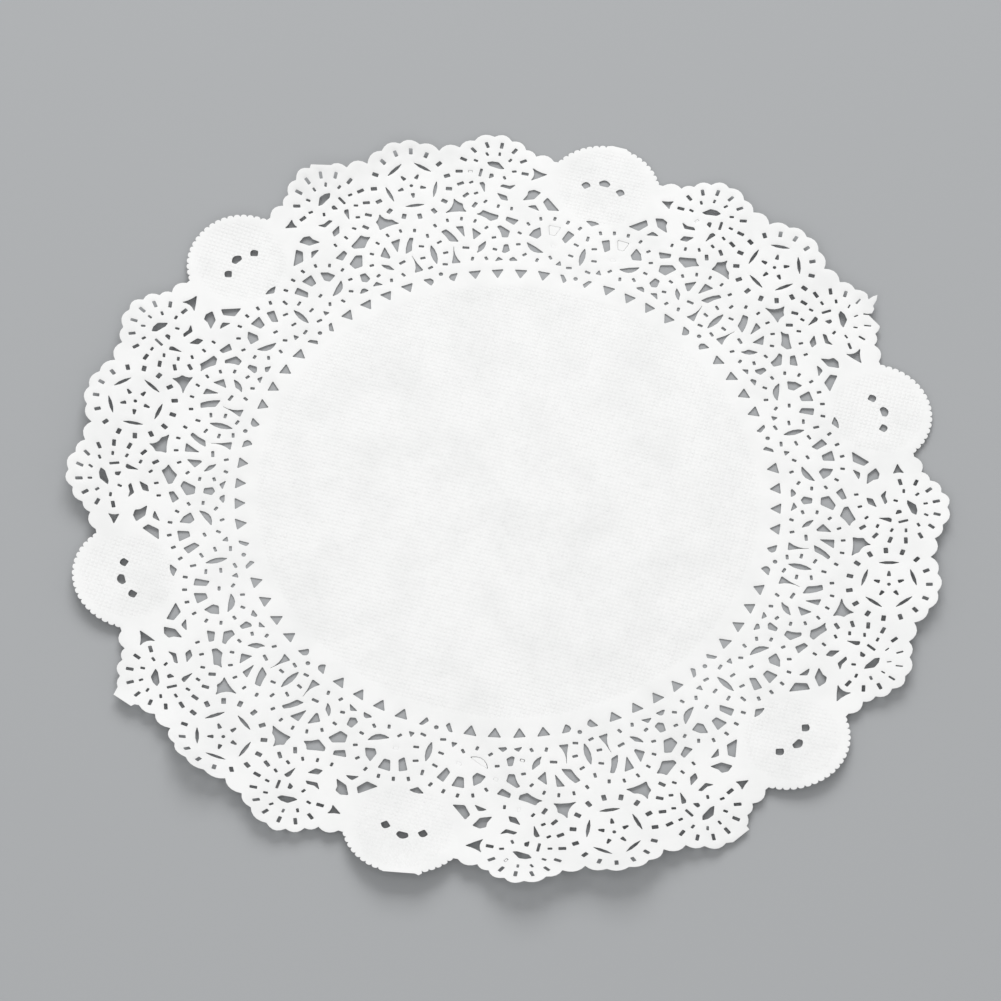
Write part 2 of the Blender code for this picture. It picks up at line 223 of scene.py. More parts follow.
# Middle of a slot with round corners, its turn from the X axis in degrees, its size, and how far the
# right one sits from this place, the left one sitting as far the other way in its mirror
PETAL_SLOTS = (
    Slot(2.9, 93.9, 17.0, 1.75, 0.85, -0.15),
    Slot(3.75, 89.5, 8.0, 1.75, 0.85, 0.05),
    Slot(3.0, 85.0, -14.0, 1.8, 0.9, -0.1),
    Slot(9.55, 91.4, 14.0, 1.5, 0.9, -0.1),
    Slot(9.55, 87.15, 49.0, 1.5, 0.9, -0.1),
    Slot(13.3, 85.15, -80.0, 1.45, 0.9, -0.1),
    Slot(17.55, 86.05, -51.0, 1.5, 0.9, -0.1),
    Slot(20.4, 89.3, -19.0, 1.45, 0.9, -0.1, 0.05),
    Slot(21.1, 93.55, 18.0, 1.4, 0.9, -0.1, 0.05),
    Slot(19.35, 97.55, 44.0, 1.45, 0.9, -0.1),
    Slot(3.3, 100.25, -65.0, 1.5, 0.95, -0.15),
    Slot(7.5, 101.4, -77.0, 1.5, 0.95, -0.15),
    Slot(11.85, 101.65, 92.0, 1.45, 0.95, -0.1),
    Slot(16.1, 100.45, 68.0, 1.45, 0.9, -0.1),
)
FAN_SLOTS = (
    Slot(25.9, 101.7, 81.0, 1.4, 0.85, -0.1),
    Slot(30.2, 101.45, -89.0, 1.45, 0.85, -0.05),
    Slot(34.5, 102.15, -65.0, 1.45, 0.85, -0.1, 0.05),
    Slot(38.2, 104.4, -40.0, 1.45, 0.9, -0.05, 0.05),
    Slot(40.8, 108.0, -44.0, 1.45, 0.85, 0.0, 0.05),
    Slot(42.15, 111.95, -17.0, 1.45, 0.85, 0.0, 0.1),
    Slot(41.45, 116.2, 8.0, 1.45, 0.85, -0.05),
    Slot(38.7, 119.5, 43.0, 1.45, 0.8),
    Slot(34.85, 120.6, 82.0, 1.4, 0.8, -0.05),
    Slot(31.0, 119.25, -65.0, 1.45, 0.85, -0.1),
    Slot(28.7, 115.65, -20.0, 1.5, 0.85, -0.1, 0.1),
    Slot(31.15, 112.4, 54.0, 1.4, 0.85),
    Slot(38.85, 112.3, 88.0, 3.05, 0.9, -0.05),
)
LEAF_SLOTS = (
    Slot(31.7, 92.05, -62.0, 1.4, 0.9, 0.0, -0.55),
    Slot(35.8, 93.6, -81.0, 1.45, 0.85, 0.0, -0.45),
    Slot(40.1, 93.4, 80.0, 1.45, 0.85, 0.0, -0.3),
    Slot(44.15, 91.7, 63.0, 1.4, 0.85, 0.0, -0.2),
    Slot(47.4, 88.75, 42.0, 1.4, 0.95, 0.05, -0.15),
    Slot(28.6, 89.05, -27.0, 1.45, 0.9, 0.1, -0.6),
    Slot(27.3, 84.85, 3.0, 1.45, 0.95, 0.25, -0.6),
    Slot(29.0, 80.85, 49.0, 1.4, 0.95, 0.25, -0.6),
    Slot(33.1, 79.65, 89.0, 1.5, 0.9, 0.25, -0.5),
    Slot(36.1, 83.1, -12.0, 2.2, 0.95, 0.2, -0.45),
    Slot(41.75, 79.7, -31.0, 1.7, 0.9, 0.3, -0.3),
    Slot(40.85, 75.5, -13.0, 1.7, 0.9, 0.4, -0.3),
    Slot(44.6, 83.05, -50.0, 1.7, 0.85, 0.2, -0.2),
)
SCALLOP_SLOTS = (
    Slot(25.25, 115.65, -3.0, 2.3, 1.15, -0.05, 0.05),
    Slot(26.9, 120.1, -40.0, 2.3, 1.1, -0.1, 0.05),
    Slot(30.55, 123.0, -68.0, 2.3, 1.1, -0.1),
    Slot(35.05, 123.85, 85.0, 2.25, 1.1),
    Slot(39.55, 122.65, 56.0, 2.2, 1.05, 0.0, -0.05),
    Slot(43.15, 119.65, 32.0, 2.2, 1.05),
    Slot(45.3, 115.55, 9.0, 2.25, 1.1, -0.05),
    Slot(45.55, 110.9, -16.0, 2.3, 1.15),
    Slot(43.9, 106.55, -39.0, 2.25, 1.15),
    Slot(41.15, 102.8, -58.0, 2.25, 1.1),
    Slot(37.4, 100.0, -73.0, 2.2, 1.15, -0.1, 0.05),
)
SLOT_ROWS = {"petal": PETAL_SLOTS, "fan": FAN_SLOTS, "leaf": LEAF_SLOTS, "scallop": SCALLOP_SLOTS}
TAB_AXIS_SLOTS = (
    Slot(-0.15, 97.1, 90.0, 1.9, 0.9),
    Slot(-0.1, 81.65, 0.0, 1.4, 1.4),
)
STAR_AXIS_SLOTS = (
    Slot(0.2, 97.5, 88.0, 1.6, 0.9),
    Slot(0.65, 82.65, 0.0, 1.4, 1.4),
)

Notch = namedtuple("Notch", "x y bow")
# Where two scallops meet, from the tab to the star's axis, and how far the next scallop bows out
SCALLOPS = (
    Notch(17.7, 122.6, 1.35),
    Notch(23.6, 122.95, 0.75),
    Notch(27.3, 124.45, 1.3),
    Notch(32.4, 126.3, 1.5),
    Notch(38.1, 126.3, 1.4),
    Notch(43.75, 122.95, 1.0),
    Notch(47.6, 119.2, 1.5),
    Notch(53.5, 115.95, 1.25),
    Notch(59.8, 116.0, 1.3),
    Notch(65.85, 113.95, 0.0),
)

RimFlaw = namedtuple("RimFlaw", "name repeat points")
# Places where the blank was held or cut past the scallops, clockwise; X is negative left of the tab
RIM_FLAWS = (
    RimFlaw("tab_nib", 0, ((-2.9, 132.85), (-1.5, 133.4), (3.2, 133.35), (3.9, 132.75))),
    RimFlaw("torn_scallop", 1, ((-39.3, 125.9), (-39.9, 127.6), (-39.95, 129.0), (-38.3, 128.2),
                                (-36.75, 126.6), (-35.6, 126.65), (-34.4, 125.6), (-34.6, 124.2),
                                (-35.2, 123.1), (-34.7, 122.85), (-34.05, 124.4), (-29.5, 126.55))),
    RimFlaw("cut_corner", 2, ((29.9, 126.65), (30.1, 127.9), (36.4, 127.45))),
    RimFlaw("cut_tab", 3, ((-9.4, 130.95), (-8.7, 131.95), (-7.5, 131.55), (1.5, 133.3))),
    RimFlaw("square_nib", 4, ((-43.6, 123.1), (-43.1, 124.3), (-43.6, 125.4), (-38.4, 129.5),
                              (-36.0, 127.75))),
    RimFlaw("flat_scallop", 5, ((38.25, 126.2), (39.3, 126.75), (44.2, 122.75))),
)

Waste = namedtuple("Waste", "repeat side row index share drop")
# Gaps whose waste was left in: the half (1 right, -1 left), the row, how much of the gap the waste
# still fills, and how far it sits below the sheet
WASTE = (
    Waste(0, 1, "petal_middle", 0, 0.93, 0.10),
    Waste(0, -1, "petal_middle", 0, 0.94, 0.05),
    Waste(0, 1, "petal", 3, 0.97, 0.03),
    Waste(0, -1, "petal", 3, 0.97, 0.03),
    Waste(0, 1, "fan", 11, 0.85, 0.12),
    Waste(0, -1, "fan", 5, 0.8, 0.14),
    Waste(3, -1, "petal_crescent", 0, 0.9, 0.14),
    Waste(3, 1, "petal", 3, 0.95, 0.05),
    Waste(3, -1, "petal", 3, 0.95, 0.06),
    Waste(3, -1, "petal", 8, 0.94, 0.06),
    Waste(3, -1, "leaf", 6, 0.72, 0.16),
    Waste(3, -1, "fan", 1, 0.95, 0.05),
    Waste(3, -1, "fan", 9, 0.66, 0.16),
)
WASTE_CLEARANCE = 0.02        # of a bit above the surface that the doily lies on
WASTE_SWELL = 0.05            # how much thicker than a cut edge a bit is
Thin = namedtuple("Thin", "repeat side row index share")
# Slots that were cut only partly through, and the share of their width that is open
THIN_SLOTS = (
    Thin(1, -1, "fan", 7, 0.65),
    Thin(1, -1, "fan", 8, 0.65),
    Thin(1, -1, "fan", 9, 0.65),
    Thin(1, -1, "fan", 10, 0.75),
    Thin(1, -1, "scallop", 0, 0.75),
    Thin(1, -1, "scallop", 1, 0.65),
    Thin(1, -1, "scallop", 2, 0.5),
    Thin(1, -1, "scallop", 4, 0.6),
    Thin(2, -1, "fan", 6, 0.55),
    Thin(2, -1, "fan", 7, 0.5),
    Thin(2, -1, "fan", 8, 0.65),
    Thin(2, -1, "scallop", 3, 0.65),
    Thin(2, -1, "scallop", 4, 0.5),
    Thin(2, -1, "scallop", 5, 0.6),
)
# Slots that the torn scallop runs through: the repeat, the half, the row and the place in the row
TORN_OPEN = ((1, -1, "scallop", 3),)

# Paper
Noise = namedtuple("Noise", "scale detail roughness")
PATCH_NOISE = Noise(55.0, 3.0, 0.55)
FIBRE_NOISE = Noise(2600.0, 2.0, 0.6)
FLOCK_NOISE = Noise(420.0, 3.0, 0.6)
FLOCK_MEAN = 0.5
PATCH_RANGE = (0.42, 0.72)    # of the noise, from paper with no patch to the middle of a patch
PATCH_STRENGTH = 0.8
FLOCK_RANGE = (0.3, 0.7)      # of the noise, from the smoothest paper to the roughest
ROUGHNESS_SPREAD = 0.06
PAPER_SPECULAR = 0.3
WAVE_STRENGTH = 0.5
WAVE_HEIGHT = 0.25
NAP_STRENGTH = 0.35
NAP_HEIGHT = 0.02
SHEET_SHADE_ANGLE = math.radians(48.0)
WASTE_SHADE_ANGLE = math.radians(40.0)

# Floor and lights, in metres but for FLOOR_DROP
FLOOR_SIZE = 6.0
FLOOR_DROP = 0.05
FLOOR_ROUGHNESS = 0.85
FLOOR_SPECULAR = 0.2
KEY_LIGHT_PLACE = (-0.25, 0.95, 1.15)
KEY_LIGHT_SIZE = 1.1
FILL_LIGHT_PLACE = (0.1, -0.9, 1.2)
FILL_LIGHT_SIZE = 1.4

# Camera: places in metres, lens and sensor in millimetres
CAMERA_PLACE = (0.14833, -0.64741, 1.10610)
CAMERA_AIM = (-0.0018, -0.0022, 0.0005)
CAMERA_ROLL = math.radians(2.19)
CAMERA_LENS = 154.2
CAMERA_SENSOR = 36.0
CAMERA_CLIP_START = 0.05


class DoilySheetSizes(PropertyGroup):
    """Sizes of the pressed sheet."""
    thickness: FloatProperty(
        name="Thickness", description="Thickness of the paper at its cut edges",
        default=0.12 * MM, min=0.05 * MM, max=0.6 * MM, precision=5, unit="LENGTH")
    cushion: FloatProperty(
        name="Cushion", description="How far the pressed lace stands above its cut edges",
        default=0.2 * MM, min=0.0, max=0.4 * MM, precision=5, unit="LENGTH")
    cushion_width: FloatProperty(
        name="Cushion width", description="Distance from a cut edge at which the lace has its full height",
        default=1.15 * MM, min=0.2 * MM, max=3.0 * MM, precision=5, unit="LENGTH")
    lace_lift: FloatProperty(
        name="Lace lift", description="How far the pressed lace stands off the surface it lies on",
        default=0.08 * MM, min=0.0, max=0.6 * MM, precision=5, unit="LENGTH")


class DoilyFinish(PropertyGroup):
    """Colours and grain of the paper."""
    paper: FloatVectorProperty(
        name="Paper", description="Colour of the paper", subtype="COLOR",
        default=(0.87, 0.872, 0.868), min=0.0, max=1.0)
    shade: FloatVectorProperty(
        name="Paper in patches", description="Slightly greyer colour that the paper has in patches",
        subtype="COLOR", default=(0.80, 0.804, 0.80), min=0.0, max=1.0)
    thread_pitch: FloatProperty(
        name="Thread pitch", description="Distance between two threads of the linen grain",
        default=1.333 * MM, min=0.2 * MM, max=3.0 * MM, precision=5, unit="LENGTH")
    thread_height: FloatProperty(
        name="Thread height", description="Height of the linen grain",
        default=0.13 * MM, min=0.0, max=0.3 * MM, precision=5, unit="LENGTH")
    roughness: FloatProperty(
        name="Roughness", description="Roughness of the uncoated paper",
        default=0.78, min=0.0, max=1.0, subtype="FACTOR")


class DoilyStage(PropertyGroup):
    """Floor and light."""
    floor: FloatVectorProperty(
        name="Floor", description="Colour of the plain floor", subtype="COLOR",
        default=(0.385, 0.395, 0.405), min=0.0, max=1.0)
    key_power: FloatProperty(
        name="Key light", description="Power of the large soft light behind the doily",
        default=14.5, min=0.0, unit="POWER")
    fill_power: FloatProperty(
        name="Fill light", description="Power of the soft light on the camera's side",
        default=8.4, min=0.0, unit="POWER")
    sky: FloatProperty(
        name="Sky", description="Strength of the even light all round",
        default=0.42, min=0.0, subtype="FACTOR")


def turned(points, angle):
    """The points turned about the doily's centre, anticlockwise."""
    cosine, sine = math.cos(angle), math.sin(angle)
    return [(x * cosine - y * sine, x * sine + y * cosine) for x, y in points]


def mirrored(points):
    """The points on the other side of the tab's axis."""
    return [(-x, y) for x, y in points]


def signed_area(points):
    """Positive where the points run anticlockwise."""
    following = points[1:] + points[:1]
    return 0.5 * sum(x * next_y - next_x * y for (x, y), (next_x, next_y) in zip(points, following))


def anticlockwise(points):
    """The same loop, running anticlockwise."""
    return points if signed_area(points) > 0.0 else points[::-1]


def bowed_edge(start, end, bow):
    """Points from start up to, but not with, end, on a curve that bows to the right of the way."""
    if bow == 0.0:
        return [start]
    along = (end[0] - start[0], end[1] - start[1])
    length = math.hypot(*along)
    right = (along[1] / length, -along[0] / length)
    steps = max(2, math.ceil(math.sqrt(abs(bow) / CHORD_ERROR)))
    points = []
    for step in range(steps):
        share = step / steps
        rise = 4.0 * bow * share * (1.0 - share)
        points.append((start[0] + along[0] * share + right[0] * rise,
                       start[1] + along[1] * share + right[1] * rise))
    return points


def softened(points):
    """The loop with each sharp corner cut off by a little, as a worn punch leaves it."""
    soft = []
    for before, here, after in zip(points[-1:] + points[:-1], points, points[1:] + points[:1]):
        way_in = Vector((here[0] - before[0], here[1] - before[1]))
        way_out = Vector((after[0] - here[0], after[1] - here[1]))
        if way_in.angle(way_out, 0.0) < CORNER_STRAIGHT:
            soft.append(here)
            continue
        place = Vector(here)
        for way, sign in ((way_in, -1.0), (way_out, 1.0)):
            cut = min(CORNER_CUT, CORNER_CUT_SHARE * way.length)
            soft.append(tuple(place + way.normalized() * (sign * cut)))
    return soft


def set_off(points, distance):
    """The loop with each point moved outward by the distance, where the loop runs anticlockwise."""
    moved = []
    for before, here, after in zip(points[-1:] + points[:-1], points, points[1:] + points[:1]):
        way = Vector((after[0] - before[0], after[1] - before[1])).normalized()
        moved.append((here[0] + way.y * distance, here[1] - way.x * distance))
    return moved


def gap_outline(gap, skewed=1.0):
    """The closed outline of a charted gap, moved by that share of its skew, anticlockwise."""
    outward = -1.0 if signed_area(list(gap.corners)) < 0.0 else 1.0
    bows = gap.bows or (0.0,) * len(gap.corners)
    outline = []
    for index, corner in enumerate(gap.corners):
        following = gap.corners[(index + 1) % len(gap.corners)]
        outline += bowed_edge(corner, following, outward * bows[index])
    placed = [(x + skewed * gap.skew[0], y + skewed * gap.skew[1]) for x, y in outline]
    return set_off(anticlockwise(softened(placed)), PUNCH_WEAR)


def slot_outline(slot, skewed=0.0, share=1.0):
    """The outline of a slot with round corners, with that share of its width."""
    width = slot.width * share
    rounding = 0.5 * width if slot.width == slot.length else min(SLOT_CORNER, 0.5 * width)
    middle = Vector((slot.x + skewed * slot.right_x, slot.y + skewed * slot.right_y))
    turn = Matrix.Rotation(math.radians(slot.turn), 2)
    outline = []
    for quarter in range(4):
        along = (0.5 * slot.length - rounding) * (1.0, -1.0, -1.0, 1.0)[quarter]
        across = (0.5 * width - rounding) * (1.0, 1.0, -1.0, -1.0)[quarter]
        for step in range(SLOT_CORNER_POINTS):
            angle = 0.5 * math.pi * (quarter + (step + 0.5) / SLOT_CORNER_POINTS)
            corner = Vector((along + rounding * math.cos(angle), across + rounding * math.sin(angle)))
            outline.append(tuple(middle + turn @ corner))
    return outline


def star_outlines():
    """The gaps of the star that stands on +Y: its ring of dots, its slits and its eyes."""
    outlines = []
    for index in range(STAR_DOTS):
        angle = (index + 0.5) * 2.0 * math.pi / STAR_DOTS + STAR_DOT_TURN
        width = STAR_DOT_WIDTH - STAR_DOT_TAPER * max(0.0, math.cos(angle))
        outlines.append(turned(slot_outline(Slot(0.0, STAR_DOT_RING, 90.0, STAR_DOT_LENGTH, width)), angle))
    half_slit, half_eye = 0.5 * STAR_SLIT_LENGTH, 0.5 * STAR_EYE_LENGTH
    inner, outer = (0.5 * width for width in STAR_EYE_WIDTHS)
    slit = Gap("slit", ((half_slit, STAR_SLIT_RING), (-half_slit, STAR_SLIT_RING)),
               (STAR_SLIT_BOW, STAR_SLIT_BOW))
    eye = Gap("eye", ((-inner, STAR_EYE_RING - half_eye), (inner, STAR_EYE_RING - half_eye),
                      (outer, STAR_EYE_RING + half_eye), (-outer, STAR_EYE_RING + half_eye)))
    for index in range(STAR_ARMS):
        angle = (index + 0.5) * 2.0 * math.pi / STAR_ARMS + STAR_TURN
        outlines += [turned(gap_outline(slit), angle), turned(gap_outline(eye), angle)]
    outlines.append(slot_outline(Slot(0.0, 0.0, 0.0, STAR_PUPIL, STAR_PUPIL)))
    return [[(x + STAR_CENTRE[0], y + STAR_CENTRE[1]) for x, y in outline] for outline in outlines]


def half_rows(side):
    """The outlines of gaps and the charted slots of a half, each with its row's name and place there."""
    rows = []
    for gap in HALF_REPEAT_GAPS + (RIGHT_HALF_GAPS if side > 0 else LEFT_HALF_GAPS):
        rows.append((gap.name, 0, gap_outline(gap, side)))
    for name, slots in SLOT_ROWS.items():
        rows += [(name, index, slot) for index, slot in enumerate(slots)]
    return rows


def repeat_gaps(repeat):
    """The open gaps of one repeat and the gaps that its waste still fills, as (outline, waste) pairs."""
    waste_at = {(row.repeat, row.side, row.row, row.index): row for row in WASTE}
    thin_at = {(row.repeat, row.side, row.row, row.index): row.share for row in THIN_SLOTS}
    found = []
    for side in (1, -1):
        for name, index, shape in half_rows(side):
            key = (repeat, side, name, index)
            if key in TORN_OPEN:
                continue
            if isinstance(shape, Slot):
                shape = slot_outline(shape, side, thin_at.get(key, 1.0))
            found.append((shape if side > 0 else mirrored(shape), waste_at.get(key)))
    on_tab = [gap_outline(gap) for gap in TAB_AXIS_GAPS]
    on_tab += [slot_outline(slot) for slot in TAB_AXIS_SLOTS]
    on_star = [gap_outline(gap) for gap in STAR_AXIS_GAPS]
    on_star += [slot_outline(slot) for slot in STAR_AXIS_SLOTS] + star_outlines()
    found += [(outline, None) for outline in on_tab]
    found += [(turned(outline, -REPEAT_ANGLE / 2), None) for outline in on_star]
    return [(anticlockwise(turned(outline, -repeat * REPEAT_ANGLE)), waste) for outline, waste in found]


def tab_edge():
    """The beaded edge of the tab at +Y, from its axis to the last bead on its right side."""
    points = []
    for step in range(BEADS_EACH_SIDE * BEAD_STEPS + BEAD_STEPS // 2):
        place = step / BEAD_STEPS
        swell = math.sqrt(max(0.0, 1.0 - (2.0 * ((place + 0.5) % 1.0) - 1.0) ** 2))
        radius = TAB_RADIUS + BEAD_RISE * (swell - BEAD_SINK)
        angle = place * BEAD_PITCH
        points.append((radius * math.sin(angle), TAB_CENTRE_Y + radius * math.cos(angle)))
    return points


def scalloped_edge():
    """The scallops from the tab to the star's axis."""
    points = []
    for notch, following in zip(SCALLOPS, SCALLOPS[1:]):
        points += bowed_edge((notch.x, notch.y), (following.x, following.y), -notch.bow)
    return points


def rim():
    """The whole outline of the sheet, clockwise from the first tab's crest, with its flaws."""
    half = tab_edge() + scalloped_edge()
    star_axis_notch = (SCALLOPS[-1].x, SCALLOPS[-1].y)
    repeat = half + [star_axis_notch] + turned(mirrored(half[:0:-1]), -REPEAT_ANGLE)
    outline = []
    for index in range(REPEATS):
        outline += turned(repeat, -index * REPEAT_ANGLE)
    for flaw in RIM_FLAWS:
        points = turned(flaw.points, -flaw.repeat * REPEAT_ANGLE)
        start, end = (min(range(len(outline)), key=lambda at: math.dist(outline[at], point))
                      for point in (points[0], points[-1]))
        if start < end:
            outline = outline[:start] + points + outline[end + 1:]
        else:
            outline = outline[end + 1:start] + points
    return outline


def eased(share):
    """A share from 0 to 1 that starts and ends gently."""
    return share * share * (3.0 - 2.0 * share)


def curl(x, y):
    """Height of the sheet's underside, in millimetres, at places given in millimetres."""
    radius = np.hypot(x, y)
    turn = (np.arctan2(x, y) / (2.0 * math.pi)) % 1.0
    rippled = eased(np.clip((radius - RIPPLE_START) / (LOW_RADIUS - RIPPLE_START), 0.0, 1.0))
    height = RISE_BETWEEN * rippled * np.abs(np.sin(LOW_POINTS * turn * math.pi))
    height += RISE_PAST * np.clip((radius - LOW_RADIUS) / (LIFT_START - LOW_RADIUS), 0.0, 1.0)
    sample = turn * len(RIM_LIFT)
    before = sample.astype(int) % len(RIM_LIFT)
    share = eased(sample - np.floor(sample))
    lifts = np.array(RIM_LIFT)
    lift = lifts[before] * (1.0 - share) + lifts[(before + 1) % len(RIM_LIFT)] * share
    height += lift * np.maximum(0.0, (radius - LIFT_START) / (LIFT_GAUGE - LIFT_START)) ** LIFT_POWER
    past_bend = np.maximum(0.0, (radius - BEND_START) / (BEND_GAUGE - BEND_START)) ** LIFT_POWER
    for bend in RIM_BENDS:
        away = np.abs(np.degrees(turn * 2.0 * math.pi) - bend.direction)
        height += bend.rise * past_bend * eased(np.clip(1.0 - away / bend.half_width, 0.0, 1.0))
    return height


def grain_share(x, y):
    """1 where the linen grain is pressed, in the middle and in the tabs, and 0 in the lace."""
    share = np.clip((MIDDLE_GRAIN_RADIUS - np.hypot(x, y)) / GRAIN_FADE, 0.0, 1.0)
    for index in range(REPEATS):
        centre = turned([(0.0, TAB_GRAIN_CENTRE_Y)], -index * REPEAT_ANGLE)[0]
        distance = np.hypot(x - centre[0], y - centre[1])
        share = np.maximum(share, np.clip((TAB_GRAIN_RADIUS - distance) / GRAIN_FADE, 0.0, 1.0))
    return share


def edge_tree(loops):
    """A search tree of places along every cut edge."""
    samples = []
    for loop in loops:
        for start, end in zip(loop, loop[1:] + loop[:1]):
            parts = max(1, int(math.dist(start, end) / EDGE_SAMPLE))
            samples += [(start[0] + (end[0] - start[0]) * part / parts,
                         start[1] + (end[1] - start[1]) * part / parts, 0.0) for part in range(parts)]
    tree = KDTree(len(samples))
    for index, sample in enumerate(samples):
        tree.insert(sample, index)
    tree.balance()
    return tree


def grid_points(pitch, inner, outer):
    """Places on a six-sided grid between two radii."""
    row_pitch = pitch * math.sqrt(3.0) / 2.0
    rows = int(outer / row_pitch) + 1
    columns = int(outer / pitch) + 1
    points = []
    for row in range(-rows, rows + 1):
        for column in range(-columns, columns + 1):
            place = ((column + 0.5 * (row % 2)) * pitch, row * row_pitch)
            if inner <= math.hypot(*place) < outer:
                points.append(place)
    return points


def bevel_points(loops, tree):
    """Places just outside each gap and just inside the rim, where the pressed edge turns over."""
    return [place for loop in loops for place in set_off(loop, BEVEL_WIDTH)
            if tree.find((*place, 0.0))[2] > BEVEL_CLEARANCE]


def triangulated(loops, free_points):
    """One face of the sheet: its points, its triangles, and where each loop's points went."""
    points, runs = [], []
    for loop in loops:
        runs.append(list(range(len(points), len(points) + len(loop))))
        points += loop
    corners, _, triangles, sources, _, inside = delaunay_2d_cdt(
        [Vector(point) for point in points + free_points], [], runs, 0, MERGE_DISTANCE)
    kept = [triangle for triangle, faces in zip(triangles, inside) if list(faces) == [0]]
    place_of = {}
    for corner, origins in enumerate(sources):
        for origin in origins:
            place_of[origin] = corner
    return np.array(corners), kept, [[place_of[index] for index in run] for run in runs]


def sheet_mesh(name, loops, top_points, under_points, top_height, under_height):
    """A closed sheet: the upper face, the lower face and the cut edges between them."""
    upper, upper_faces, upper_runs = triangulated(loops, top_points)
    lower, lower_faces, lower_runs = triangulated(loops, under_points)
    upper_z = top_height(upper[:, 0], upper[:, 1])
    lower_z = under_height(lower[:, 0], lower[:, 1])
    places = np.concatenate([np.column_stack([upper, upper_z]), np.column_stack([lower, lower_z])]) * MM
    shift = len(upper)
    faces = [tuple(face) for face in upper_faces]
    faces += [tuple(shift + corner for corner in reversed(face)) for face in lower_faces]
    edges = []
    for upper_run, lower_run in zip(upper_runs, lower_runs):
        outward = upper_run is upper_runs[0]
        for index in range(len(upper_run)):
            following = (index + 1) % len(upper_run)
            quad = (upper_run[index], shift + lower_run[index], shift + lower_run[following],
                    upper_run[following])
            edges.append(quad if outward else quad[::-1])
    mesh = bpy.data.meshes.new(name)
    mesh.from_pydata(places.tolist(), [], faces + edges)
    mesh.validate()
    return mesh


def drop_loose(piece):
    """Takes out points that no face uses, and splits the faces into triangles."""
    bpy.ops.object.select_all(action="DESELECT")
    piece.select_set(True)
    bpy.context.view_layer.objects.active = piece
    bpy.ops.object.mode_set(mode="EDIT")
    bpy.ops.mesh.select_all(action="SELECT")
    bpy.ops.mesh.delete_loose(use_verts=True, use_edges=True, use_faces=False)
    bpy.ops.mesh.select_all(action="SELECT")
    bpy.ops.mesh.quads_convert_to_tris()
    bpy.ops.object.mode_set(mode="OBJECT")


def smoothed(piece, angle):
    """Shades the piece smooth but for edges sharper than the angle."""
    bpy.ops.object.select_all(action="DESELECT")
    piece.select_set(True)
    bpy.context.view_layer.objects.active = piece
    bpy.ops.object.shade_smooth_by_angle(angle=angle)
    piece.select_set(False)


def grain_attribute(mesh):
    """Writes where the linen grain is pressed into the mesh."""
    places = np.empty(len(mesh.vertices) * 3, dtype=np.float32)
    mesh.vertices.foreach_get("co", places)
    places = places.reshape(-1, 3) / MM
    layer = mesh.attributes.new("linen_grain", "FLOAT", "POINT")
    layer.data.foreach_set("value", grain_share(places[:, 0], places[:, 1]).astype(np.float32))


def add_node(tree, kind, label, inputs=(), **settings):
    """A labelled shader node with its settings and its inputs' values or links."""
    node = tree.nodes.new(kind)
    node.label = label
    for key, value in settings.items():
        setattr(node, key, value)
    for key, value in inputs:
        if isinstance(value, bpy.types.NodeSocket):
            tree.links.new(value, node.inputs[key])
        else:
            node.inputs[key].default_value = value
    return node


def noise(tree, label, place, settings):
    """A noise over the place, with its scale, detail and roughness."""
    return add_node(tree, "ShaderNodeTexNoise", label,
                    (("Vector", place), ("Scale", settings.scale), ("Detail", settings.detail),
                     ("Roughness", settings.roughness)))


def thread_wave(tree, coordinate, pitch, label):
    """Rounded ridges across one coordinate, one for each thread."""
    turns = add_node(tree, "ShaderNodeMath", label + " turns", ((0, coordinate), (1, math.pi / pitch)),
                     operation="MULTIPLY")
    wave = add_node(tree, "ShaderNodeMath", label + " wave", ((0, turns.outputs[0]),), operation="SINE")
    return add_node(tree, "ShaderNodeMath", label + " ridge", ((0, wave.outputs[0]),),
                    operation="ABSOLUTE").outputs[0]


